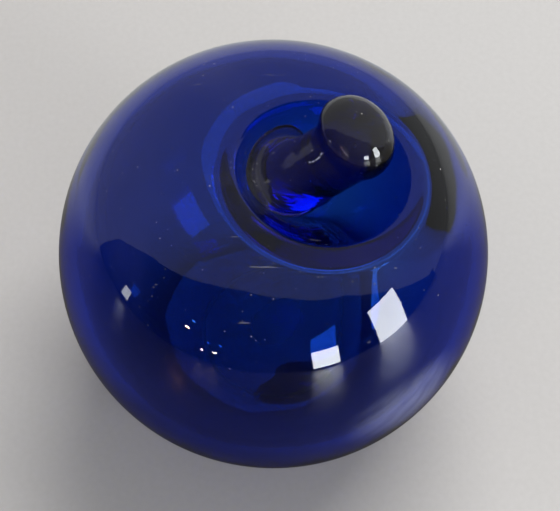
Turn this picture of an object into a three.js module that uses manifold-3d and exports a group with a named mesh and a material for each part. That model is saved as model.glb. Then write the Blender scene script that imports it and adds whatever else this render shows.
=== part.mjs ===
// A blown glass paperweight in the form of an apple, in millimetres, with +Z up.
// The origin is the middle of the foot it stands on, straight below the middle of the blown bubble.
// The stem leans towards +X. The finger dimple in the crown sits off the bubble's axis, towards +X and -Y.
import * as THREE from "three";
import { ParametricGeometry } from "three/addons/geometries/ParametricGeometry.js";
import { mergeVertices } from "three/addons/utils/BufferGeometryUtils.js";
import Module from "manifold-3d";

const wasm = await Module();
wasm.setup();

// The blown bubble
const bodyRadius = 44;
const wallThickness = 3.5;
const footDepth = 5; // how much of the round bottom is flattened away
const baseThickness = 7; // glass left under the hollow
const baseInnerRound = 12; // where the hollow's floor turns up into its wall

// The foot: a flat ring round a shallow hollow, the kick-up, which keeps the rough pontil off the table
const footEdgeRound = 1.5;
const kickRadius = 14;
const kickRise = 3.2;

// The crown: a rounded lip round a steep dimple
const shoulderWidth = 24.2; // from the widest outline in to the lip's ring
const shoulderFullness = 0.94; // how far the lip stands proud of the round side, on its outer side
const shoulderTurn = 16.2; // degrees of the round side, below the lip, that the shoulder takes the place of
const lipSlope = 0.09; // fall of the lip's ring for each millimetre towards +X
const lipInnerRound = 0.7; // the lip's round on the hollow's side of the wall
const dimpleX = 7.6;
const dimpleY = -3.6;
const dimpleDepth = 11; // from the lip's middle height down to the dimple's floor
const dimpleCorner = 7; // round between the dimple's wall and its floor
const floorTurn = 10; // degrees that the floor has risen through where the corner begins

// The blow hole, on the bubble's own axis, which the stem's glass plugs
const blowHoleRadius = 3.5;
const plugProud = 0.5; // how far the plug hangs into the hollow
const glassGap = 0.3; // between pieces that are fused on the real object

// The stem, one hot bit of glass: a root pad on the dimple's floor, a leaning shaft and a round knob
const rootX = 1.9;
const rootY = 1.2;
const rootLift = 1.2; // the root ball's middle above the dimple's floor
const rootRadius = 8.3;
const shaftRadius = 6.4;
const knobRadius = 7.2;
const knobReachX = 13;
const knobReachY = 0.4;
const knobRise = 12.8;
const stemSag = 0.75; // how far the shaft's middle hangs below the straight line from root to knob
const neckRound = 8; // concave rounds where the shaft meets the root and the knob

// The pontil seal, a small lens of glass left by the rod that held the base
const sealRadius = 6;
const sealEdge = 0.7;
const sealCrown = 0.6;

// Numbers of facets
const slices = 48;
const stemSlices = 28;

// Sizes that follow from those above
const radians = THREE.MathUtils.degToRad;
const centreHeight = bodyRadius - footDepth;
const lipRadius = bodyRadius - shoulderWidth;
const lipRound = wallThickness + lipInnerRound;
// The lip's ring comes nearest the side straight out from the dimple's offset. All heights on the crown are
// above the bubble's centre.
const lipReach = lipRadius + Math.hypot(dimpleX, dimpleY);
const lipLevel = Math.sqrt((bodyRadius - lipRound + shoulderFullness) ** 2 - lipReach ** 2);
const lipFall = (azimuth) => lipSlope * lipRadius * Math.cos(azimuth);
const lipTop = lipLevel + lipRound + lipFall(Math.atan2(dimpleY, dimpleX));
const shoulderAngle = Math.atan2(lipReach, lipLevel) + radians(shoulderTurn); // from the vertical
const cornerRound = Math.min(dimpleCorner, 0.8 * (lipRadius - lipRound));
const cornerRing = lipRadius - lipRound - cornerRound;
const floorEdge = cornerRing + cornerRound * Math.sin(radians(floorTurn));
const floorRise = floorEdge * Math.tan(radians(floorTurn / 2));
const cornerHeight = lipTop - dimpleDepth + floorRise + cornerRound * Math.cos(radians(floorTurn));
const floorHeight = centreHeight + lipTop - dimpleDepth; // above the table
const rootHeight = floorHeight + rootLift;

// A point on an arc about a centre in an upright plane, at an angle from straight up, positive outwards.
function onArc(centre, radius, angle) {
  return new THREE.Vector2(centre.x + radius * Math.sin(angle), centre.y + radius * Math.cos(angle));
}

// The crown's outline in the upright plane at an azimuth round the dimple's axis, as arcs that meet
// smoothly: shoulder, lip, corner and floor. x is the distance from that axis. Every arc of the inner face
// keeps its outer arc's centre, so the wall has one thickness.
function crownArcs(azimuth, inset) {
  const along = -dimpleX * Math.cos(azimuth) - dimpleY * Math.sin(azimuth);
  const aside = dimpleX * Math.sin(azimuth) - dimpleY * Math.cos(azimuth);
  const sphere = bodyRadius - inset;
  const section = Math.sqrt(sphere ** 2 - aside ** 2);
  const joinHeight = sphere * Math.cos(shoulderAngle);
  const join = new THREE.Vector2(along + Math.sqrt(section ** 2 - joinHeight ** 2), joinHeight);
  const joinNormal = new THREE.Vector2(join.x - along, join.y).normalize();

  const lip = lipRound - inset;
  const lipHeight = lipTop - lipRound - lipFall(azimuth);
  const lipCentre = new THREE.Vector2(lipRadius, lipHeight);
  // The shoulder's arc touches the sphere at the join and holds the lip's arc inside it.
  const reach = join.clone().sub(lipCentre);
  const shoulder = (reach.lengthSq() - lip ** 2) / (2 * (reach.dot(joinNormal) - lip));
  const shoulderCentre = join.clone().addScaledVector(joinNormal, -shoulder);
  const lipStart = Math.atan2(lipCentre.x - shoulderCentre.x, lipCentre.y - shoulderCentre.y);

  const corner = cornerRound + inset;
  const cornerCentre = new THREE.Vector2(cornerRing, cornerHeight);
  // The wall is the line that touches both the lip's arc and the corner's.
  const span = lipCentre.clone().sub(cornerCentre);
  const wallTurn = Math.atan2(span.x, -span.y) - Math.acos(Math.min(1, (lip + corner) / span.length()));

  const turn = radians(floorTurn);
  const floor = (cornerRing + corner * Math.sin(turn)) / Math.sin(turn);
  const floorCentre = new THREE.Vector2(0, cornerHeight - corner * Math.cos(turn) + floor * Math.cos(turn));
  const joinAngle = Math.atan2(joinNormal.x, joinNormal.y);
  return [
    { steps: 5, centre: shoulderCentre, radius: shoulder, from: joinAngle, to: lipStart },
    { steps: 6, centre: lipCentre, radius: lip, from: lipStart, to: -wallTurn },
    { steps: 5, centre: cornerCentre, radius: corner, from: Math.PI - wallTurn, to: Math.PI - turn },
    { steps: 3, centre: floorCentre, radius: floor, from: Math.PI - turn, to: Math.PI },
  ];
}

// The underside and side of the bubble as arcs about its upright axis. The outside has a foot and a
// kick-up, the hollow has a flat floor.
function sideArcs(inset) {
  const inside = inset > 0;
  const sphere = bodyRadius - inset;
  const round = inside ? baseInnerRound : footEdgeRound;
  const level = (inside ? baseThickness : inset) - centreHeight;
  const footHeight = level + round;
  const footCentre = new THREE.Vector2(Math.sqrt((sphere - round) ** 2 - footHeight ** 2), footHeight);
  const kickArc = (kickRadius ** 2 + kickRise ** 2) / (2 * kickRise);
  const kickTurn = Math.asin(kickRadius / kickArc);
  const kickCentre = new THREE.Vector2(0, level + kickRise - kickArc);
  const sideStart = Math.atan2(footCentre.x, footCentre.y);
  const widest = Math.PI / 2;
  const middle = new THREE.Vector2(0, 0);
  const arcs = [
    { steps: inside ? 5 : 2, centre: footCentre, radius: round, from: Math.PI, to: sideStart },
    { steps: 6, centre: middle, radius: sphere, from: sideStart, to: widest },
    { steps: 3, centre: middle, radius: sphere, from: widest, to: shoulderAngle },
  ];
  if (inside) return [{ steps: 1, centre: new THREE.Vector2(0, level), radius: 0, from: 0, to: 0 }, ...arcs];
  return [{ steps: 3, centre: kickCentre, radius: kickArc, from: 0, to: kickTurn }, ...arcs];
}

// The point in a numbered row along a list of arcs, each with as many steps as it says. A straight line
// joins each arc's end to the next arc's start.
function alongArcs(arcs, row) {
  let left = row;
  for (const arc of arcs) {
    if (left <= arc.steps) {
      return onArc(arc.centre, arc.radius, THREE.MathUtils.lerp(arc.from, arc.to, left / arc.steps));
    }
    left -= arc.steps + 1;
  }
  return null;
}

// How many rows of points a list of arcs has.
function rowsOf(arcs) {
  return arcs.reduce((sum, arc) => sum + arc.steps + 1, 0);
}

// How far round the bubble's axis a point of the dimple's plane lies from that plane's own azimuth.
function turnTo(azimuth, point) {
  const x = point.x + dimpleX * Math.cos(azimuth) + dimpleY * Math.sin(azimuth);
  return Math.atan2(dimpleY * Math.cos(azimuth) - dimpleX * Math.sin(azimuth), x);
}

// A closed skin of the bubble, set in from its outer face, from the middle of the base to the dimple's.
// Its rings turn evenly about the bubble's axis up to its widest, and above that shift round to the dimple's.
function skin(inset) {
  const lower = sideArcs(inset);
  const lowerRows = rowsOf(lower);
  const rows = lowerRows + rowsOf(crownArcs(0, inset)) - 1;
  const place = (u, v, target) => {
    const azimuth = 2 * Math.PI * (u % 1);
    const row = Math.min(rows - 1, Math.round(v * (rows - 1)));
    const crown = crownArcs(azimuth, inset);
    const join = onArc(crown[0].centre, crown[0].radius, crown[0].from);
    if (row < lowerRows) {
      const point = alongArcs(lower, row);
      const around = azimuth + turnTo(azimuth, join) * THREE.MathUtils.clamp(point.y / join.y, 0, 1);
      target.set(point.x * Math.cos(around), point.x * Math.sin(around), point.y + centreHeight);
      return;
    }
    const point = alongArcs(crown, row - lowerRows + 1);
    const x = dimpleX + point.x * Math.cos(azimuth);
    target.set(x, dimpleY + point.x * Math.sin(azimuth), point.y + centreHeight);
  };
  return new ParametricGeometry(place, slices, rows - 1);
}

// A three.js geometry as a solid that can be cut and joined.
function solid(geometry) {
  const bare = geometry.index ? geometry.clone() : geometry;
  bare.deleteAttribute("normal");
  bare.deleteAttribute("uv");
  const merged = mergeVertices(bare, 1e-4);
  return new wasm.Manifold(
    new wasm.Mesh({
      numProp: 3,
      vertProperties: new Float32Array(merged.attributes.position.array),
      triVerts: new Uint32Array(merged.index.array),
    }),
  );
}

// A named piece in its own material.
function piece(name, made, material) {
  const mesh = made.getMesh();
  const geometry = new THREE.BufferGeometry();
  geometry.setAttribute("position", new THREE.BufferAttribute(new Float32Array(mesh.vertProperties), 3));
  geometry.setIndex(new THREE.BufferAttribute(new Uint32Array(mesh.triVerts), 1));
  geometry.computeVertexNormals();
  const result = new THREE.Mesh(geometry, material);
  result.name = name;
  return result;
}

function glass(colour) {
  return new THREE.MeshStandardMaterial({
    color: colour,
    roughness: 0.03,
    metalness: 0,
    transparent: true,
    opacity: 0.8,
  });
}

// An upright round bar, used as the blow hole's cut and as the stem's plug.
function uprightBar(radius, bottom, top) {
  const bar = new THREE.CylinderGeometry(radius, radius, top - bottom, 32);
  bar.rotateX(Math.PI / 2);
  bar.translate(0, 0, (top + bottom) / 2);
  return solid(bar);
}

// The blown bubble: its wall, from the foot to the dimple, is open only at the blow hole.
function bodyShell() {
  const wall = solid(skin(0)).subtract(solid(skin(wallThickness)));
  return wall.subtract(uprightBar(blowHoleRadius, floorHeight - 2 * wallThickness, rootHeight + rootRadius));
}

// The stem's outline along its own length: root ball, shaft and knob, with concave rounds at both necks.
function stemOutline(length) {
  const neck = (ball) => {
    const apart = Math.sqrt((ball + neckRound) ** 2 - (shaftRadius + neckRound) ** 2);
    return { apart, turn: Math.atan2(shaftRadius + neckRound, apart) };
  };
  const low = neck(rootRadius);
  const high = neck(knobRadius);
  const path = new THREE.Path();
  path.moveTo(-rootRadius, 0);
  path.absarc(0, 0, rootRadius, Math.PI, low.turn, true);
  path.absarc(low.apart, shaftRadius + neckRound, neckRound, Math.PI + low.turn, 1.5 * Math.PI, false);
  const knobNeck = length - high.apart;
  path.absarc(knobNeck, shaftRadius + neckRound, neckRound, 1.5 * Math.PI, 2 * Math.PI - high.turn, false);
  path.absarc(length, 0, knobRadius, Math.PI - high.turn, 0, true);
  return path;
}

// The stem's solid: the outline turned about its length, then bent along the sagging line to the knob.
function stemBit() {
  const root = new THREE.Vector3(rootX, rootY, rootHeight);
  const knob = root.clone().add(new THREE.Vector3(knobReachX, knobReachY, knobRise));
  const length = root.distanceTo(knob);
  const middle = root.clone().lerp(knob, 0.5);
  middle.z -= 2 * stemSag;
  const line = new THREE.QuadraticBezierCurve3(root, middle, knob);
  const profile = stemOutline(length).getPoints(7).map((p) => new THREE.Vector2(Math.max(0, p.y), p.x));
  const spun = new THREE.LatheGeometry(profile, stemSlices);
  const points = spun.getAttribute("position");
  for (let i = 0; i < points.count; i += 1) {
    const share = points.getY(i) / length;
    const held = THREE.MathUtils.clamp(share, 0, 1);
    const tangent = line.getTangent(held);
    const across = new THREE.Vector3(0, 1, 0).cross(tangent).normalize();
    const along = tangent.clone().cross(across);
    const point = line.getPoint(held).addScaledVector(tangent, (share - held) * length);
    point.addScaledVector(across, points.getZ(i)).addScaledVector(along, points.getX(i));
    points.setXYZ(i, point.x, point.y, point.z);
  }
  const trimmed = solid(spun).subtract(solid(skin(-glassGap)));
  const plugBottom = floorHeight - wallThickness - plugProud;
  return trimmed.add(uprightBar(blowHoleRadius - glassGap, plugBottom, rootHeight + shaftRadius / 2));
}

// The pontil seal: a lens that follows the kick-up above it and stays clear of the table.
function pontilSeal() {
  const kickArc = (kickRadius ** 2 + kickRise ** 2) / (2 * kickRise);
  const top = (x) => kickRise - glassGap - kickArc + Math.sqrt(kickArc ** 2 - x ** 2);
  const bottom = (x) => top(sealRadius) - sealEdge - sealCrown * (1 - (x / sealRadius) ** 2);
  const shares = [0, 1 / 3, 2 / 3, 1];
  const under = shares.map((s) => new THREE.Vector2(s * sealRadius, bottom(s * sealRadius)));
  const over = shares.map((s) => new THREE.Vector2(s * sealRadius, top(s * sealRadius))).reverse();
  const lens = new THREE.LatheGeometry([...under, ...over], slices / 2);
  lens.rotateX(Math.PI / 2);
  return solid(lens);
}

const paperweight = new THREE.Group();
paperweight.add(
  piece("body_shell", bodyShell(), glass(0x0a0f78)),
  piece("stem", stemBit(), glass(0x05073c)),
  piece("pontil_seal", pontilSeal(), glass(0x0d1490)),
);
export default paperweight;
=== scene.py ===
# %% [markdown]
# # A blown glass apple paperweight, deep cobalt blue
# The object is a hollow glass bubble pressed in at its crown, with a solid stem of the same glass laid in
# the dimple and a small round seal under its foot. This lesson builds each piece as a surface worked out
# with numpy, gives each its own glass, and lights the set like a small product studio. The imported model is
# loaded first, and each of its parts is hidden once the new piece that takes its place is built.

import bpy
import numpy as np
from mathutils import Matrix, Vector


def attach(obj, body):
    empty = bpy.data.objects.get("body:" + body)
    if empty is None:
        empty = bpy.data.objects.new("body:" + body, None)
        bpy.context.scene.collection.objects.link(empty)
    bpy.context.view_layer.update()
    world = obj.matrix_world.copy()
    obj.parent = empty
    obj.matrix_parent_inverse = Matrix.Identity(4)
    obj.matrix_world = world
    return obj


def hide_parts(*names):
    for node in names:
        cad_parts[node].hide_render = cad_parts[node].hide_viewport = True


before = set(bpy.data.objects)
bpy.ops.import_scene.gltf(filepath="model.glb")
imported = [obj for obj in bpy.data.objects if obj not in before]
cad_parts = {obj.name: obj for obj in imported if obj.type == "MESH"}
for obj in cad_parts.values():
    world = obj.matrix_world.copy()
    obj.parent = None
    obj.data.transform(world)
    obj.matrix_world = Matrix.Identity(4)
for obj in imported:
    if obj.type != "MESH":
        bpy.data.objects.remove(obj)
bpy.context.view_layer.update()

# %% [markdown]
# ## Sizes
# Glass this smooth is all long curves, so the whole body is a few arcs: a round side, a shoulder that rolls
# over a lip, the lip's own small round, a corner and a nearly flat floor in the dimple. All lengths are in
# millimetres here and turn into metres when a mesh is made.

# %% Name the sizes
BODY_RADIUS = 44.0
WALL = 3.5
FOOT_DEPTH = 5.0  # how far the round side is cut short by the foot
CENTRE = BODY_RADIUS - FOOT_DEPTH  # height of the bubble's middle above the table
DIMPLE = np.array([7.6, -3.6])  # the dimple's upright axis
LIP_TOP = 35.2
LIP_TILT = 1.78  # how far the lip falls towards the stem's leaning side
SHOULDER = np.radians(60.0)
CORNER_ROUND = 7.0
DIMPLE_DEPTH = 11.0
FLOOR_TURN = np.radians(10.0)
FLOOR_LEVEL = LIP_TOP - DIMPLE_DEPTH  # above the bubble's middle
FOOT_ROUND = 1.5
KICK_RADIUS = 14.0  # the kick-up, a shallow hollow inside the foot ring
KICK_RISE = 3.2
KICK_ARC = (KICK_RADIUS**2 + KICK_RISE**2) / (2 * KICK_RISE)
BASE = 7.0  # glass left under the hollow
BASE_ROUND = 12.0
print("dimple floor", CENTRE + FLOOR_LEVEL, "mm above the table; kick-up arc", round(KICK_ARC, 2), "mm")

# %% [markdown]
# ## Arcs, rows and skins
# A surface here is a grid: its rows run along a profile and its columns go round. An arc is given by its
# centre, radius and two angles from straight up. The profile could be drawn as a Bezier curve and spun, but
# the dimple is off the bubble's axis, so each column has its own profile, and arrays that hold all columns
# at once are both exact and quick.

# %% Arc and grid helpers
def arc(centre_x, centre_y, radius, start, end, steps):
    """Points at centre + radius * (sin a, cos a), for a going evenly from start to end, for every column."""
    t = np.linspace(0, 1, steps)[:, None]
    angle = start + (end - start) * t
    return np.stack([centre_x + radius * np.sin(angle), centre_y + radius * np.cos(angle)], -1)


def soften(rows, reach):
    """Each row becomes the bell-weighted mean of its neighbours up to reach rows away; both ends stay put."""
    weights = np.hanning(2 * reach + 3)[1:-1]
    weights /= weights.sum()
    before = 2 * rows[:1] - rows[reach:0:-1]
    after = 2 * rows[-1:] - rows[-2:-reach - 2:-1]
    padded = np.concatenate([before, rows, after])
    return sum(w * padded[i:i + len(rows)] for i, w in enumerate(weights))


def grid_faces(rows, columns, first=0):
    """Quads between neighbouring rows and columns, the last column joined to the first."""
    r, c = np.meshgrid(np.arange(rows - 1), np.arange(columns), indexing="ij")
    along = (c + 1) % columns
    this, above = r * columns, (r + 1) * columns
    return np.stack([this + c, this + along, above + along, above + c], -1).reshape(-1, 4) + first


def closed_skin(grid, first=0, flip=False):
    """Points and faces of a grid whose first and last rows each shrink to one point, a fan closing each."""
    rows, columns = grid.shape[:2]
    points = np.concatenate([grid[0, :1], grid[1:-1].reshape(-1, 3), grid[-1, :1]])
    quads = grid_faces(rows - 2, columns, 1)
    c = np.arange(columns)
    along = (c + 1) % columns
    last = 1 + (rows - 2) * columns
    start = np.stack([np.zeros(columns, int), 1 + along, 1 + c], -1)
    end = np.stack([np.full(columns, last), last - columns + c, last - columns + along], -1)
    faces = [quads, start, end]
    if flip:
        faces = [f[:, ::-1] for f in faces]
    return points, [f + first for f in faces]


def make_object(name, points, faces):
    """A smooth-shaded mesh object from points in millimetres and a list of face arrays."""
    mesh = bpy.data.meshes.new(name)
    mesh.from_pydata((points * 0.001).tolist(), [], [f for part in faces for f in part.tolist()])
    mesh.polygons.foreach_set("use_smooth", np.ones(len(mesh.polygons), bool))
    mesh.update()
    made = bpy.data.objects.new(name, mesh)
    bpy.context.scene.collection.objects.link(made)
    low, high = points.min(0), points.max(0)
    print(name, len(mesh.polygons), "faces,", low.round(2), "to", high.round(2), "mm")
    return made


# %% [markdown]
# ## The lip round the dimple
# The dimple was pressed in by hand, so it isn't the same all round: the lip is a tight fold at the front and
# a soft roll at the back, the wall leans back on the right front side, and the stem's hot root drew the left
# side in. Each of these is one cosine of the angle round the dimple's axis. A lattice or sculpting could
# bend the crown too, but a formula keeps both faces of the glass in step. The floor's level is the same all
# round, so each column's corner is set to meet it.

# %% How the lip changes round the dimple
FRONT = np.radians(-80.0)  # where the lip is tightest
EASY = np.radians(-50.0)  # where the wall leans back most
NEAR = np.radians(-25.0)  # where the bubble's side comes nearest to the lip
DRAWN = np.radians(200.0)  # where the root drew the wall in
WALL_FACE = 15.5


def lip_round(turn):
    """The lip's radius: a tight fold at the front, a soft roll at the back."""
    return 3.2 - 1.0 * np.cos(turn - FRONT)


def inner_lip(turn):
    """The least radius of the hollow's fold under the lip, smaller where the bubble's side is near."""
    return 2.1 - 0.7 * np.cos(turn - NEAR)


def wall_face(turn):
    """Distance of the dimple's wall from its axis at the lip: drawn in by up to 2 mm on one side."""
    return WALL_FACE - 2.0 * (0.5 + 0.5 * np.cos(turn - DRAWN))**2


def corner_ring(turn):
    """Distance of the corner's centre from the axis: least where the wall leans back most."""
    return wall_face(turn) - CORNER_ROUND - 0.9 - 6.2 * (0.5 + 0.5 * np.cos(turn - EASY))


def floor_edge(turn):
    """Where the floor's shallow arc ends and the corner's begins."""
    return corner_ring(turn) + CORNER_ROUND * np.sin(FLOOR_TURN)


def corner_level(turn):
    """Height of the corner's centre above the bubble's middle, from which every column's floor meets."""
    return FLOOR_LEVEL + floor_edge(turn) * np.tan(FLOOR_TURN / 2) + CORNER_ROUND * np.cos(FLOOR_TURN)


def slope_between(span_x, span_y, radii):
    """Angle above level of a line that touches two arcs from opposite sides; the span joins their centres."""
    return np.arctan2(span_x, -span_y) - np.arccos(np.minimum(1, radii / np.hypot(span_x, span_y)))


def wall_slope(turn):
    """Angle of the dimple's short wall, the line that touches the lip's arc and the corner's."""
    lip = lip_round(turn)
    span_x = wall_face(turn) + lip - corner_ring(turn)
    span_y = LIP_TOP - lip - LIP_TILT * np.cos(turn) - corner_level(turn)
    return slope_between(span_x, span_y, lip + CORNER_ROUND)


slopes = np.degrees(wall_slope(np.radians(np.arange(0, 360, 90))))
print("wall slopes at right, back, left and front", slopes.round(1), "degrees")

# %% [markdown]
# ## The crown's profile
# The crown is laid out round the dimple's axis. The shoulder's arc has to touch the round side and hold the
# lip's arc inside it, which fixes its radius; the short wall is the line that touches the lip's arc and the
# corner's. The hollow has the same arcs, moved by the glass's thickness: full at the shoulder, thinner at
# the wall and thinnest in the floor, because that glass was pushed in and stretched.

# %% Profile of the crown
WALL_SHARE = 0.80  # the dimple wall's share of the bubble's thickness
FLOOR_SHARE = 0.45


def crown_rows(turn, inset):
    """Rows of (distance from the dimple's axis, height) from the shoulder's foot to the dimple's middle."""
    along = -DIMPLE[0] * np.cos(turn) - DIMPLE[1] * np.sin(turn)
    aside = DIMPLE[0] * np.sin(turn) - DIMPLE[1] * np.cos(turn)
    sphere = BODY_RADIUS - inset
    join_y = sphere * np.cos(SHOULDER) + 0 * turn
    join_x = along + np.sqrt(sphere**2 - aside**2 - join_y**2)
    size = np.hypot(join_x - along, join_y)
    normal_x, normal_y = (join_x - along) / size, join_y / size
    lip = np.maximum(lip_round(turn) - inset, inner_lip(turn)) if inset else lip_round(turn)
    lip_x = wall_face(turn) + inset * WALL_SHARE + lip
    lip_y = LIP_TOP - inset - lip - LIP_TILT * np.cos(turn)
    reach_x, reach_y = join_x - lip_x, join_y - lip_y
    shoulder = (reach_x**2 + reach_y**2 - lip**2) / (2 * (reach_x * normal_x + reach_y * normal_y - lip))
    centre_x, centre_y = join_x - shoulder * normal_x, join_y - shoulder * normal_y
    lip_start = np.arctan2(lip_x - centre_x, lip_y - centre_y)
    corner = CORNER_ROUND + inset * FLOOR_SHARE
    corner_x, corner_y = corner_ring(turn), corner_level(turn)
    wall_turn = slope_between(lip_x - corner_x, lip_y - corner_y, lip + corner)
    floor = (corner_x + corner * np.sin(FLOOR_TURN)) / np.sin(FLOOR_TURN)
    floor_y = corner_y - corner * np.cos(FLOOR_TURN) + floor * np.cos(FLOOR_TURN)
    return np.concatenate([
        arc(centre_x, centre_y, shoulder, np.arctan2(normal_x, normal_y), lip_start, 46)[1:],
        arc(lip_x, lip_y, lip, lip_start, -wall_turn, 22)[1:],
        arc(corner_x, corner_y, corner, np.pi - wall_turn, np.pi - FLOOR_TURN + 0 * turn, 24),
        arc(0, floor_y, floor, np.pi - FLOOR_TURN + 0 * turn, np.pi + 0 * turn, 20)[1:],
    ])


print("crown rows", [len(crown_rows(np.zeros(1), inset)) for inset in (0.0, WALL)], "outside and inside")

# %% [markdown]
# ## The side's profile
# Below the shoulder everything turns about the bubble's own axis: the round side, a small round at the
# foot's edge, the flat foot ring that the glass was ground to stand on, and the shallow kick-up that keeps
# the rough seal off the table. Inside, the hollow ends in a flat bottom with a wide round.

# %% Profile of the side
def side_rows(inset):
    """Rows of (distance from the bubble's axis, height) from the base's middle up to the shoulder's foot."""
    inside = inset > 0
    sphere = BODY_RADIUS - inset
    level = (BASE if inside else 0.0) - CENTRE
    edge = BASE_ROUND if inside else FOOT_ROUND
    edge_x = np.sqrt((sphere - edge)**2 - (level + edge)**2)
    side_start = np.arctan2(edge_x, level + edge)
    if inside:
        base = np.stack([np.linspace(0, edge_x, 18), np.full(18, level)], -1)[:, None]
    else:
        hollow = arc(0, level + KICK_RISE - KICK_ARC, KICK_ARC, 0.0, np.arcsin(KICK_RADIUS / KICK_ARC), 20)
        ring = np.stack([np.linspace(KICK_RADIUS, edge_x, 8), np.full(8, level)], -1)[1:, None]
        base = np.concatenate([hollow, ring])
    return np.concatenate([
        base,
        arc(edge_x, level + edge, edge, np.pi, side_start, 20 if inside else 8)[1:],
        arc(0, 0, sphere, side_start, SHOULDER, 100)[1:],
    ])[:, 0]


print("side rows", len(side_rows(0.0)), "outside,", len(side_rows(WALL)), "inside")


# %% [markdown]
# ## The body's two skins
# Columns turn evenly round the bubble's axis up to its widest, and above that shift over to the dimple's
# axis, so that no face is long or twisted. On the real object the fire has melted away every sudden change
# of curve, so the rows are softened along the profile, which a Smooth modifier would do less evenly. Blown
# glass is never quite round: the gather cools unevenly, and the tools leave slow swells a fraction of a
# millimetre high. These only ever move inwards, so the body keeps inside its size.

# %% Skins of the body
COLUMNS = 192
MIDDLE = np.array([0, 0, CENTRE])


def skin(inset):
    """A closed grid: the side's rows about the bubble's axis, then the crown's about the dimple's."""
    turn = np.linspace(0, 2 * np.pi, COLUMNS, endpoint=False)
    crown = crown_rows(turn, inset)
    side = side_rows(inset)
    join = BODY_RADIUS - inset
    join_x = crown[0, :, 0] + DIMPLE[0] * np.cos(turn) + DIMPLE[1] * np.sin(turn)
    shift = np.arctan2(DIMPLE[1] * np.cos(turn) - DIMPLE[0] * np.sin(turn), join_x)
    around = turn + shift * np.clip(side[:, 1:] / (join * np.cos(SHOULDER)), 0, 1)
    out, height = side[:, :1], side[:, 1:]
    low = np.stack([out * np.cos(around), out * np.sin(around), height + 0 * around], -1)
    out, height = crown[..., 0], crown[..., 1]
    high = np.stack([DIMPLE[0] + out * np.cos(turn), DIMPLE[1] + out * np.sin(turn), height], -1)
    return soften(np.concatenate([low, high]), 3) + MIDDLE


def swell(points, depth):
    """How far inwards, from 0 to depth: a sum of slow sine waves of the place on the bubble."""
    x, y, z = (points - MIDDLE).T / BODY_RADIUS
    waves = (np.sin(2.1 * x + 1.3 * y + 0.4) + np.sin(3.2 * y - 1.7 * z + 1.9)
             + np.sin(2.6 * z + 2.4 * x + 3.0)
             + 0.5 * np.sin(5.3 * x - 3.1 * y + 2.2 * z) + 0.4 * np.sin(6.1 * y + 4.9 * z + 1.1))
    return depth * np.clip(0.5 + waves / 7.8, 0, 1)


def move_inwards(points, depth):
    """Moves points towards the bubble's middle by their swell, fading out towards crown and foot."""
    out = points - MIDDLE
    away = np.linalg.norm(out, axis=1, keepdims=True)
    fade = np.clip((34.0 - np.abs(out[:, 2:])) / 16.0, 0, 1)
    return points - out / away * swell(points, depth)[:, None] * fade


# %% Build the body
outer, outer_faces = closed_skin(skin(0.0))
inner, inner_faces = closed_skin(skin(WALL), first=len(outer), flip=True)
body_points = np.concatenate([move_inwards(outer, 0.35), move_inwards(inner, 0.6)])
body = make_object("glass_body", body_points, outer_faces + inner_faces)
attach(body, "root")
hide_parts("body_shell")

# %% [markdown]
# ## The stem's path
# A gaffer lets one hot bit of glass drop on the dimple's floor, pulls it sideways and leaves a round blob
# at its end. So it has a root that flows out over the floor, a thick shaft and a knob, all one piece. Its
# middle line is a Bezier curve, here worked out by its formula and not as a curve object, because the rings
# round it have to follow the dimple's surface, whose height the second function gives.

# %% Path of the stem
STEM_GAP = 0.08
ROOT = np.array([1.9, 1.2, CENTRE + FLOOR_LEVEL])
KNOB = np.array([14.7, 1.15, CENTRE + FLOOR_LEVEL + 12.8])  # the path's end
SAG = np.array([0.8, -0.3, -0.8])
REACH = float(np.linalg.norm(KNOB - ROOT))


def floor_height(x, y):
    """Height of the dimple's surface above the table: the floor's arc, the corner's, then the wall's line."""
    away = np.hypot(x - DIMPLE[0], y - DIMPLE[1])
    turn = np.arctan2(y - DIMPLE[1], x - DIMPLE[0])
    edge = floor_edge(turn)
    floor = edge / np.sin(FLOOR_TURN)
    on_floor = FLOOR_LEVEL + floor - np.sqrt(floor**2 - np.minimum(away, edge)**2)
    slope = wall_slope(turn)
    foot = CORNER_ROUND * np.sin(slope)
    beyond = np.maximum(away - corner_ring(turn), 0)
    on_corner = corner_level(turn) - np.sqrt(CORNER_ROUND**2 - np.minimum(beyond, foot)**2)
    on_corner += np.maximum(beyond - foot, 0) * np.tan(slope)
    return CENTRE + np.where(away < edge, on_floor, on_corner)


def smooth(t):
    """From 0 to 1 with level ends: 3 t squared minus 2 t cubed."""
    t = np.clip(t, 0, 1)
    return t * t * (3 - 2 * t)


def along_path(t):
    """A quadratic Bezier curve from root to knob, sagging a little; past the knob it runs straight on."""
    t = np.asarray(t, float)[:, None]
    middle = (ROOT + KNOB) / 2 + SAG
    inside = np.clip(t, 0, 1)
    curve = (1 - inside)**2 * ROOT + 2 * inside * (1 - inside) * middle + inside**2 * KNOB
    heading = (1 - inside) * (middle - ROOT) + inside * (KNOB - middle)
    heading /= np.linalg.norm(heading, axis=1, keepdims=True)
    return curve + heading * np.maximum(t - 1, 0) * REACH, heading


print("root to knob", round(REACH, 2), "mm")

# %% [markdown]
# ## The stem's profile
# The profile is a radius for each distance along the path: a concave flare that starts level with the
# floor, the root's slow taper into the shaft, and a ball. A short concave round joins ball and shaft, where
# the blob was folded back on itself.

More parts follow.
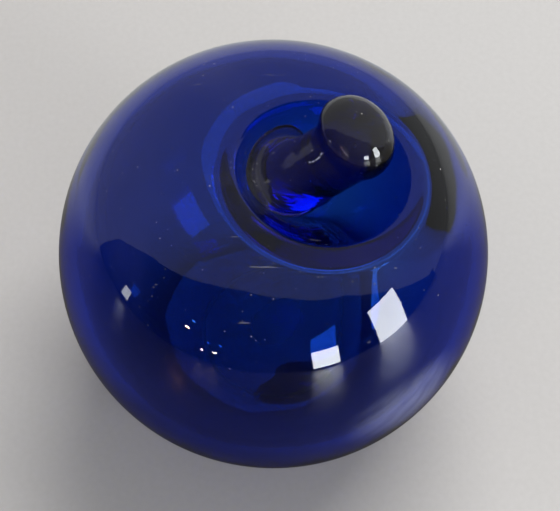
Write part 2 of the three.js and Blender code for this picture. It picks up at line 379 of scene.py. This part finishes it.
# %% Profile of the stem
KNOB_RADIUS = 6.95
SHAFT_RADIUS = 6.5
ROOT_RADIUS = 8.2
ROOT_LENGTH = 9.0  # along the path, from the floor to where the taper ends
FLARE = 0.8
NECK = 2.2
apart = np.sqrt((KNOB_RADIUS + NECK)**2 - (SHAFT_RADIUS + NECK)**2)
neck_turn = np.arctan2(SHAFT_RADIUS + NECK, apart)
s_flare = FLARE * (1 - np.cos(np.linspace(0, np.pi / 2, 16)))
s_shaft = np.concatenate([s_flare, np.linspace(FLARE, REACH - apart, 60)[1:]])
taper = SHAFT_RADIUS + (ROOT_RADIUS - SHAFT_RADIUS) * smooth(1 - s_shaft / ROOT_LENGTH)
inside_flare = np.clip(FLARE - s_shaft, 0, FLARE)
r_shaft = taper + FLARE - np.sqrt(FLARE**2 - inside_flare**2)
neck_angle = np.linspace(0, np.pi / 2 - neck_turn, 10)[1:]
s_neck = REACH - apart + NECK * np.sin(neck_angle)
r_neck = SHAFT_RADIUS + NECK * (1 - np.cos(neck_angle))
ball = np.linspace(np.pi - neck_turn, 0, 64)[1:]
s_rows = np.concatenate([s_shaft, s_neck, REACH + KNOB_RADIUS * np.cos(ball)])
r_rows = np.concatenate([r_shaft, r_neck, KNOB_RADIUS * np.sin(ball)])
print("stem rows", len(s_rows), "radius", r_rows.min().round(2), "to", r_rows.max().round(2))

# %% [markdown]
# ## The stem's rings
# The rings lie flat at the root and turn to stand square to the path further up. The knob's are pulled a
# little oval and back, as the blob sank when it was folded over, and the root's edge wanders in and out,
# because hot glass stops where it chills.

# %% Rings of the stem
STEM_COLUMNS = 128
FOLD = np.array([0.0, 0.5, 0.7])  # how far the blob was folded back from the path
OVAL_AXIS = np.array([-0.5, 0.67, 0.54])
OVAL = 0.17
turn = np.linspace(0, 2 * np.pi, STEM_COLUMNS, endpoint=False)
centre, heading = along_path(s_rows / REACH)
square = smooth(s_rows / ROOT_LENGTH)[:, None]
normal = heading * square + np.array([0, 0, 1.0]) * (1 - square)
normal /= np.linalg.norm(normal, axis=1, keepdims=True)
across = np.cross(np.array([0, 1.0, 0]), normal)
across /= np.linalg.norm(across, axis=1, keepdims=True)
level = np.cross(normal, across)
spoke = np.cos(turn)[None, :, None] * across[:, None] + np.sin(turn)[None, :, None] * level[:, None]
spoke = spoke * r_rows[:, None, None]
folded = smooth((s_rows - REACH + 5.0) / 5.0)[:, None, None]
spoke = spoke + OVAL * folded * (spoke @ OVAL_AXIS)[..., None] * OVAL_AXIS
rings = centre[:, None] + spoke + FOLD * folded
wander = 0.35 * np.sin(2 * turn + 0.4) + 0.30 * np.sin(3 * turn + 2.0) + 0.18 * np.sin(5 * turn + 1.0)
wander = wander * (1 - smooth(s_rows / 6.0))[:, None]
outward = spoke / np.linalg.norm(spoke, axis=-1, keepdims=True).clip(1e-9)
rings[..., :2] += outward[..., :2] * wander[..., None]
print("rings", rings.shape[:2], "the root's edge wanders by", np.abs(wander).max().round(2), "mm")

# %% [markdown]
# ## Fitting the stem to the dimple
# Hot glass takes the shape of what it is laid on. Points near the wall are drawn back to stop short of it,
# rings near the floor are lifted by the floor's own height, and no point may sink below the dimple's
# surface. A Shrinkwrap modifier would do the same, but it would flatten the root's edge against the glass.

# %% Build the stem
HOLD = 2.3


def keep_in_dimple(points):
    """Points within HOLD of the dimple's wall are drawn back by a tanh curve, to stop just short of it."""
    out = points[..., :2] - DIMPLE
    away = np.linalg.norm(out, axis=-1, keepdims=True)
    around = np.arctan2(out[..., 1:], out[..., :1])
    limit = wall_face(around) - 1.1 - 0.9 * np.cos(around - FRONT)
    near = limit - HOLD + HOLD * np.tanh((away - limit + HOLD) / HOLD)
    low = smooth((CENTRE + LIP_TOP - 1.0 - points[..., 2:]) / 6.0)
    held = np.where(away > limit - HOLD, near / away, 1.0)
    moved = points.copy()
    moved[..., :2] = DIMPLE + out * (1 + (held - 1) * low)
    return moved


rings = keep_in_dimple(rings)
fade = (1 - smooth(s_rows / 7.0))[:, None]
rings[..., 2] += (floor_height(rings[..., 0], rings[..., 1]) - ROOT[2]) * fade + STEM_GAP
rings[..., 2] = np.maximum(rings[..., 2], floor_height(rings[..., 0], rings[..., 1]) + STEM_GAP)
inward = np.linspace(0, 1, 26)[:-1, None, None]
under = np.zeros((25, STEM_COLUMNS, 3))
under[..., :2] = ROOT[:2] + (rings[:1, :, :2] - ROOT[:2]) * inward
under[..., 2] = floor_height(under[..., 0], under[..., 1]) + STEM_GAP
stem_points, stem_faces = closed_skin(np.concatenate([under, rings]))
stem = make_object("glass_stem", stem_points, stem_faces)
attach(stem, "root")
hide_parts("stem")

# %% [markdown]
# ## The pontil seal
# While the crown is worked, the body is held by a rod stuck under its foot with a dab of glass. Knocking it
# off leaves a lens with a broken face, melted smooth again in the flame. It is a disc of rings whose edge
# wanders a little, its top one gap below the kick-up and its underside dished and pitted by the break.

# %% Build the pontil seal
SEAL_GAP = 0.06
SEAL_RADIUS = 5.55
seal_turn = np.linspace(0, 2 * np.pi, 96, endpoint=False)
seal_edge = (SEAL_RADIUS + 0.22 * np.sin(2 * seal_turn + 0.7) + 0.12 * np.sin(5 * seal_turn)
             + 0.07 * np.sin(9 * seal_turn + 2))


def seal_face(out, drop):
    """Points at a share of the seal's edge, a drop below the kick-up's arc."""
    x, y = out * seal_edge * np.cos(seal_turn), out * seal_edge * np.sin(seal_turn)
    arch = KICK_RISE - KICK_ARC + np.sqrt(KICK_ARC**2 - x**2 - y**2)
    return np.stack([x, y, arch - drop + 0 * x], -1)


share = np.linspace(0, 1, 30)[:, None]
scar = (0.16 * np.sin(9 * share * np.cos(seal_turn) + 1.0) * np.sin(8 * share * np.sin(seal_turn) + 0.5)
        + 0.10 * np.sin(17 * share * np.cos(seal_turn + 0.6)) * np.cos(15 * share * np.sin(seal_turn)))
seal_bottom = seal_face(share, 1.05 - 0.25 * share**2 + scar * (1 - share**2) - 0.35 * (1 - share**2)**3)
edge_angle = np.linspace(0, np.pi, 14)[1:-1, None]
rim = seal_face(1 + 0.06 * np.sin(edge_angle), SEAL_GAP + 0.37 * (1 + np.cos(edge_angle)))
seal_top = seal_face(share[::-1], SEAL_GAP + 0 * share)
seal_points, seal_faces = closed_skin(np.concatenate([seal_bottom, rim, seal_top]))
seal = make_object("glass_pontil_seal", seal_points, seal_faces)
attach(seal, "root")
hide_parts("pontil_seal")


# %% [markdown]
# ## Sums on shader values
# A material's pattern is arithmetic on noise. Wiring Math nodes by hand hides the formula, so a small class
# wraps a node's output and lets plain expressions such as 1 - mask * 0.5 add the nodes.

# %% Value, the wrapper of a socket
class Value:
    """An output socket in a node tree. Its operators add Math nodes and return the result as a Value."""

    def __init__(self, tree, socket):
        self.tree, self.socket = tree, socket

    def math(self, operation, *others):
        return add(self.tree, "ShaderNodeMath", {"operation": operation}, dict(enumerate((self,) + others)))

    def __add__(self, other):
        return self.math("ADD", other)

    def __sub__(self, other):
        return self.math("SUBTRACT", other)

    def __mul__(self, other):
        return self.math("MULTIPLY", other)

    def __truediv__(self, other):
        return self.math("DIVIDE", other)

    def __pow__(self, other):
        return self.math("POWER", other)

    def __rsub__(self, other):
        return (self * -1.0).math("ADD", other)

    __radd__ = __add__
    __rmul__ = __mul__

    def over(self, low, high):
        """0 below low, 1 above high, smooth between."""
        smoothly = {"interpolation_type": "SMOOTHSTEP"}
        return add(self.tree, "ShaderNodeMapRange", smoothly, {0: self, 1: low, 2: high})


def add(tree, kind, settings=None, inputs=None, out=0):
    """Adds a node: settings first, then the values or links of its inputs. Returns one output as a Value."""
    node = tree.nodes.new(kind)
    for key, value in (settings or {}).items():
        setattr(node, key, value)
    for key, value in (inputs or {}).items():
        if isinstance(value, Value):
            tree.links.new(value.socket, node.inputs[key])
        else:
            node.inputs[key].default_value = value
    return Value(tree, node.outputs[out]) if len(node.outputs) else node


def new_material(name):
    """An empty material and its node tree."""
    material = bpy.data.materials.new(name)
    material.use_nodes = True
    material.node_tree.nodes.clear()
    return material, material.node_tree


# %% [markdown]
# ## What lies on the glass
# The surface keeps a smooth, clear gloss, broken only by what handling leaves: faint wipe marks that blur
# it, specks of dust on the faces that look up, and hair-fine scratches. All of them are patterns on the
# piece's own coordinates. A painted image would need unwrapping and would run out of detail close up.

# %% Patterns on the glass
def place(tree):
    """The object's own coordinates, in metres."""
    return add(tree, "ShaderNodeTexCoord", out=3)


def noise(tree, at, scale, detail=2.0, stretch=(1, 1, 1), turned=(0, 0, 0)):
    """Smooth noise about 0.5, with scale cells a metre, stretched along an axis where stretch is small."""
    at = add(tree, "ShaderNodeMapping", None, {0: at, 2: turned, 3: stretch})
    return add(tree, "ShaderNodeTexNoise", None, {"Vector": at, "Scale": scale, "Detail": detail})


def specks(tree, at, scale, share, size):
    """Small round dots: one in each cell of a grid of random points, kept in a share of the cells."""
    cells = {"Vector": at, "Scale": scale}
    distance = add(tree, "ShaderNodeTexVoronoi", None, cells)
    colour = add(tree, "ShaderNodeTexVoronoi", None, cells, out=1)
    red = add(tree, "ShaderNodeSeparateColor", None, {0: colour})
    green = add(tree, "ShaderNodeSeparateColor", None, {0: colour}, out=1)
    radius = size * (0.35 + green * 0.65)
    dot = 1 - (distance / radius).over(0.6, 1.0)
    return dot * (1 - red.over(share, share + 0.01))


def looks_up(tree):
    """1 on faces that look up, 0 on faces that look sideways or down, where no dust settles and no painted
    sheen lies.
    """
    normal = add(tree, "ShaderNodeNewGeometry", out=1)
    z = add(tree, "ShaderNodeSeparateXYZ", None, {0: normal}, out=2)
    return z.over(0.05, 0.75)


# %% [markdown]
# ## Cobalt glass
# Cobalt glass is clear stuff that eats red and green on the way through, so its colour depends on depth: a
# 3.5 mm wall is a bright blue and the solid stem is almost black. That is exactly what a plain absorbing
# volume does. Painting the surface blue instead would make thin and thick glass look the same. Dust lies on
# top as a second, matt surface, mixed in where the patterns say. The same pale surface also lays a painted
# sheen on faces that look up, a painted reflection of the ceiling.

# %% The glass
def cobalt(name, tint, absorbs, density, gloss, dust, painted_sheen=0.0, pull=0.0):
    """Clear glass with an absorbing volume; gloss is its least roughness, dust the dust that lies on it, the
    next value the strength of a pale painted sheen on faces that look up, a painted reflection of the
    ceiling, and pull the height in metres of the cords that pulling leaves along a stem."""
    material, tree = new_material(name)
    at = place(tree)
    wipes = noise(tree, at, 30.0, 3.0, (1.0, 6.0, 3.0), (0.3, 0.5, 0.9)).over(0.52, 0.78)
    haze = noise(tree, at, 55.0, 4.0).over(0.45, 0.8)
    dots = specks(tree, at, 520.0, 0.16, 0.09) + specks(tree, at, 1300.0, 0.10, 0.16)
    hairs = noise(tree, at, 900.0, 2.0, (0.09, 1.0, 1.0), (0.2, 0.4, 0.6)).over(0.735, 0.77)
    dust_and_sheen = (dots * 0.75 + hairs * 0.16 + haze * 0.012) * looks_up(tree) * dust
    # Painted sheen: the pale matt surface laid on faces that look up, a painted reflection of the ceiling.
    dust_and_sheen = dust_and_sheen + looks_up(tree) * painted_sheen * (0.7 + haze * 0.6)
    roughness = gloss + wipes * 0.035 + haze * 0.012
    ripple = noise(tree, at, 70.0, 1.0)
    skin_normal = add(tree, "ShaderNodeBump", None, {"Strength": 0.25, "Distance": 0.0004, "Height": ripple})
    if pull:
        cords = noise(tree, at, 420.0, 2.0, (0.12, 1.0, 1.0), (0.0, 0.76, 0.0))
        skin_normal = add(tree, "ShaderNodeBump", None, {
            "Strength": 1.0, "Distance": pull, "Height": cords, "Normal": skin_normal})
    clear = add(tree, "ShaderNodeBsdfPrincipled", None, {
        "Base Color": tint, "Roughness": roughness, "IOR": 1.52, "Transmission Weight": 1.0,
        "Normal": skin_normal})
    # The pale matt surface of the dust, also used for the painted sheen on faces that look up.
    dust_and_sheen_skin = add(tree, "ShaderNodeBsdfPrincipled", None, {
        "Base Color": (0.60, 0.58, 0.56, 1.0), "Roughness": 0.9, "Specular IOR Level": 0.2})
    surface = add(tree, "ShaderNodeMixShader", None, {0: dust_and_sheen, 1: clear, 2: dust_and_sheen_skin})
    volume = add(tree, "ShaderNodeVolumeAbsorption", None, {"Color": absorbs, "Density": density})
    add(tree, "ShaderNodeOutputMaterial", None, {"Surface": surface, "Volume": volume})
    print(name, len(tree.nodes), "nodes")
    return material


# %% [markdown]
# ## One glass for each piece
# All three are the same glass, but the stem was gathered last and worked hottest, so it is a little deeper
# in colour and keeps faint cords along its length, and the seal is rough where the rod broke away.

# %% Materials of the pieces
CLEAR_TINT = (0.34, 0.48, 0.62, 1.0)
STEM_TINT = (0.30, 0.42, 0.60, 1.0)
COBALT = (0.0, 0.45, 0.91, 1.0)
STEM_COBALT = (0.0, 0.40, 0.88, 1.0)
DEPTH = 600.0
body.data.materials.append(cobalt("cobalt_body", CLEAR_TINT, COBALT, DEPTH, 0.004, 1.0))
# The stem's 0.035 is the strength of its painted sheen, a pale layer on its upward faces painted for the
# ceiling's reflection.
stem.data.materials.append(cobalt("cobalt_stem", STEM_TINT, STEM_COBALT, DEPTH, 0.006, 0.8, 0.035, 0.00012))
seal.data.materials.append(cobalt("cobalt_seal", CLEAR_TINT, COBALT, DEPTH, 0.12, 0.0))

# %% [markdown]
# ## The table
# A wide, pale, slightly uneven sheet, like matt card on a studio table. It isn't part of the object.

# %% Floor
floor_material, tree = new_material("pale_card")
fibre = noise(tree, place(tree), 700.0, 4.0)
card = add(tree, "ShaderNodeMix", {"data_type": "RGBA"}, {
    0: fibre, 6: (0.52, 0.50, 0.48, 1.0), 7: (0.58, 0.56, 0.54, 1.0)}, out=2)
card_skin = add(tree, "ShaderNodeBsdfPrincipled", None, {"Base Color": card, "Roughness": 0.38})
add(tree, "ShaderNodeOutputMaterial", None, {"Surface": card_skin})
HALF = 1500.0
corners = np.array([[-HALF, -HALF, 0], [HALF, -HALF, 0], [HALF, HALF, 0], [-HALF, HALF, 0]])
floor = make_object("floor", corners, [np.array([[0, 1, 2, 3]])])
floor.data.materials.append(floor_material)
floor.visible_glossy = False  # the gloss of the glass mirrors the dark table laid over it instead

# %% [markdown]
# ## Soft light all round
# Glass shows its surroundings more than itself. An even, soft grey room stands all round, so that whatever
# is seen through the glass is one quiet blue.

# %% World
world = bpy.data.worlds.new("studio")
bpy.context.scene.world = world
world.use_nodes = True
sky = world.node_tree
sky.nodes.clear()
shade = add(sky, "ShaderNodeBackground", None, {"Color": (0.93, 0.96, 1.0, 1.0), "Strength": 0.40})
add(sky, "ShaderNodeOutputWorld", None, {"Surface": shade})


# %% [markdown]
# ## Lamps
# A large key light gives the shadow its direction. Two window-shaped softboxes give the body its sharp white
# marks and their blue twins, which come from the far face of the wall, and three tiny warm lamps give the
# glints at the left front. Area lamps do this better than bright planes, because they are sampled directly.

# %% Softboxes
def softbox(name, azimuth, elevation, distance, width, height, power, colour=(1, 1, 1)):
    """A rectangular lamp that faces the body's middle; azimuth is from +X towards +Y, in degrees."""
    a, e = np.radians(azimuth), np.radians(elevation)
    place_at = Vector((np.cos(e) * np.cos(a), np.cos(e) * np.sin(a), np.sin(e))) * distance
    target = Vector((0, 0, CENTRE * 0.001))
    lamp = bpy.data.lights.new(name, "AREA")
    lamp.shape = "RECTANGLE"
    lamp.size, lamp.size_y = width, height
    lamp.energy = power
    lamp.color = colour
    made = bpy.data.objects.new(name, lamp)
    made.location = target + place_at
    made.rotation_euler = (-place_at).to_track_quat("-Z", "Y").to_euler()
    made.visible_camera = False
    bpy.context.scene.collection.objects.link(made)
    return made


COOL = (0.93, 0.97, 1.0)
DIM_WARM = (1.0, 0.82, 0.62)
key = softbox("key", 60, 55, 1.2, 1.0, 0.8, 14)
key.visible_glossy = False  # it lights the card but leaves no mark on the glass
softbox("window_right", -35, 9, 0.75, 0.20, 0.34, 3.2, COOL)
softbox("window_front", -67, 5, 0.75, 0.15, 0.17, 1.4, COOL)
softbox("lamp_warm", -131, 17, 0.75, 0.022, 0.014, 0.20, (1.0, 0.50, 0.20))
softbox("lamp_low", -122, 6, 0.75, 0.016, 0.010, 0.06, DIM_WARM)
softbox("lamp_far", -116, 7, 0.75, 0.020, 0.010, 0.06, DIM_WARM)
softbox("window_left", -163, 4, 0.75, 0.06, 0.09, 0.10, COOL)

# %% [markdown]
# ## Flags
# A photographer of glass works as much with dark boards, called flags, as with lamps: a flag in front gives
# the body a dark mirror image with a clean edge, and a dark cloth on the table keeps glare off its lower
# half. Here a board stands in a curve round the front, and a dark table lies over the card. Only mirrored
# rays meet them, so they take no light away and don't show through the glass. Darkening the world instead
# would also darken all that is seen through the body.

# %% Flags
def flag(name, points, faces, colour, rough):
    """A board that only the gloss of the glass shows; colour is a value, or a function that builds one."""
    material, tree = new_material(name)
    if callable(colour):
        colour = colour(tree)
    board_skin = add(tree, "ShaderNodeBsdfPrincipled", None, {"Base Color": colour, "Roughness": rough})
    add(tree, "ShaderNodeOutputMaterial", None, {"Surface": board_skin})
    made = make_object(name, points, faces)
    made.data.materials.append(material)
    made.visible_camera = made.visible_diffuse = made.visible_transmission = False
    made.visible_volume_scatter = made.visible_shadow = False


def table_colour(tree):
    """Dark in front, pale behind, with one streaked pool of window light at the right front."""
    at = place(tree)
    x = add(tree, "ShaderNodeSeparateXYZ", None, {0: at}, out=0)
    y = add(tree, "ShaderNodeSeparateXYZ", None, {0: at}, out=1)
    away = ((x - 0.058) * (x - 0.058) + (y + 0.050) * (y + 0.050)) ** 0.5
    streaks = noise(tree, at, 60.0, 2.0, (0.35, 1.0, 1.0), (0.0, 0.0, 0.5)).over(0.35, 0.6)
    pool = (1 - away.over(0.006, 0.036)) * (0.35 + streaks * 0.65)
    light = (y.over(0.02, 0.09) * 0.55 + pool).math("MINIMUM", 1.0)
    return add(tree, "ShaderNodeMix", {"data_type": "RGBA"}, {
        0: light, 6: (0.10, 0.09, 0.08, 1.0), 7: (0.90, 0.92, 0.95, 1.0)}, out=2)


BOARD_AWAY = 1000.0
BOARD_STEPS = 60
azimuth = np.linspace(-186, -6, BOARD_STEPS + 1)
top = np.interp(azimuth, [-186, -184, -169, -134, -112, -79, -49, -28, -9],
                [2, 15, 34, 52, 57, 53, 41, 20, 2])  # degrees above the body's middle
azimuth, top = np.radians(azimuth), np.radians(top)
foot = BOARD_AWAY * np.stack([np.cos(azimuth), np.sin(azimuth)], -1)
board = np.concatenate([np.c_[foot, 0 * top], np.c_[foot, CENTRE + BOARD_AWAY * np.tan(top)]])
i = np.arange(BOARD_STEPS)
board_faces = np.stack([i, i + BOARD_STEPS + 1, i + BOARD_STEPS + 2, i + 1], -1)
flag("front_board", board, [board_faces], (0.02, 0.02, 0.022, 1.0), 0.9)
flag("dark_table", corners + np.array([0, 0, 0.02]), [np.array([[0, 1, 2, 3]])], table_colour, 0.34)

# %% [markdown]
# ## Camera
# The eye is a hand's length above the paperweight and looks down steeply, with the stem leaning to the right.

# %% Camera
EYE = 254.2  # from the body's middle
FRAME_WIDTH = 560
tilt = np.radians(59.0)
camera_data = bpy.data.cameras.new("camera")
camera_data.sensor_width = 36
camera_data.lens = 1229 / FRAME_WIDTH * 36
camera_data.clip_start = 0.01
camera_data.shift_x = 6.65 / FRAME_WIDTH
camera_data.shift_y = -2.23 / FRAME_WIDTH
camera = bpy.data.objects.new("camera", camera_data)
camera.location = Vector((0, -EYE * np.cos(tilt), CENTRE + EYE * np.sin(tilt))) * 0.001
camera.rotation_euler = (np.pi / 2 - tilt, 0, 0)
bpy.context.scene.collection.objects.link(camera)
bpy.context.scene.camera = camera
bpy.context.scene.view_settings.view_transform = "Standard"
print("camera", [round(c, 4) for c in camera.location])
